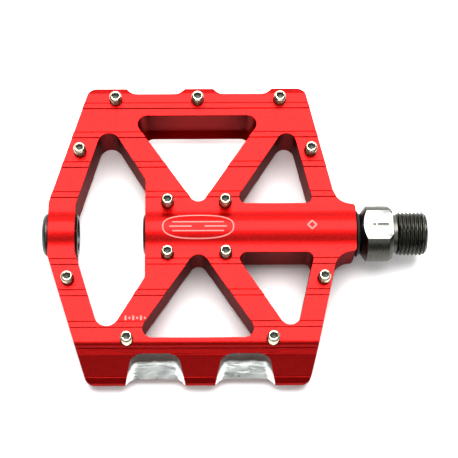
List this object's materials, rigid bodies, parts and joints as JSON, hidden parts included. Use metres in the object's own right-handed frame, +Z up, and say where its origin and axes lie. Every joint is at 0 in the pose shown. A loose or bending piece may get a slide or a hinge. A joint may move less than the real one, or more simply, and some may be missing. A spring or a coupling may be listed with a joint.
{
  "type": "flat bicycle pedal",
  "caption": "Flat bicycle pedal: a machined platform with traction pins on both faces, turning on a threaded steel spindle with wrench flats.",
  "frame": {"origin": "on the spindle's axis, at the centre of the pedal's overall length, width and height", "axes": "+X along the spindle towards the crank, +Y across the platform, +Z up, square to the tread faces"},
  "size_m": [0.1248, 0.098, 0.0224],
  "materials": {
    "red_anodised": "bead-blasted and anodised red, satin",
    "dark_steel": "dark oiled steel, machined",
    "pin_steel": "bright zinc-plated steel",
    "bearing_steel": "ground and polished steel",
    "bush_bronze": "plain bearing bronze",
    "black_rubber": "moulded rubber",
    "black_plastic": "moulded, smooth",
    "cage_plastic": "natural nylon"
  },
  "bodies": {
    "spindle": {"spindle": "dark_steel", "axle_seal": "black_rubber", "bearing_inner_ring": "bearing_steel", "thrust_washer": "bearing_steel", "lock_nut": "bearing_steel"},
    "platform": {"platform": "red_anodised", "plain_bush": "bush_bronze", "bearing_outer_ring": "bearing_steel", "bearing_shield_outboard": "black_rubber", "bearing_shield_inboard": "black_rubber", "circlip": "dark_steel", "dust_cap": "black_plastic", "access_plug": "black_plastic", "upper_pin_01": "pin_steel", "upper_pin_02": "pin_steel", "upper_pin_03": "pin_steel", "upper_pin_04": "pin_steel", "upper_pin_05": "pin_steel", "upper_pin_06": "pin_steel", "upper_pin_07": "pin_steel", "upper_pin_08": "pin_steel", "upper_pin_09": "pin_steel", "upper_pin_10": "pin_steel", "upper_pin_11": "pin_steel", "upper_pin_12": "pin_steel", "upper_pin_13": "pin_steel", "lower_pin_01": "pin_steel", "lower_pin_02": "pin_steel", "lower_pin_03": "pin_steel", "lower_pin_04": "pin_steel", "lower_pin_05": "pin_steel", "lower_pin_06": "pin_steel", "lower_pin_07": "pin_steel", "lower_pin_08": "pin_steel", "lower_pin_09": "pin_steel", "lower_pin_10": "pin_steel", "lower_pin_11": "pin_steel", "lower_pin_12": "pin_steel", "lower_pin_13": "pin_steel"},
    "ball_set": {"ball_cage": "cage_plastic", "ball_1": "bearing_steel", "ball_2": "bearing_steel", "ball_3": "bearing_steel", "ball_4": "bearing_steel", "ball_5": "bearing_steel", "ball_6": "bearing_steel", "ball_7": "bearing_steel"}
  },
  "joints": [
    {"name": "platform_spin", "type": "hinge", "parent": "spindle", "child": "platform", "pos_m": [0, 0, 0], "axis": [1, 0, 0], "continuous": true},
    {"name": "ball_orbit", "type": "hinge", "parent": "spindle", "child": "ball_set", "pos_m": [0, 0, 0], "axis": [1, 0, 0], "continuous": true}
  ],
  "couplings": [
    {"joint": "ball_orbit", "follows": "platform_spin", "ratio": 0.5896}
  ]
}
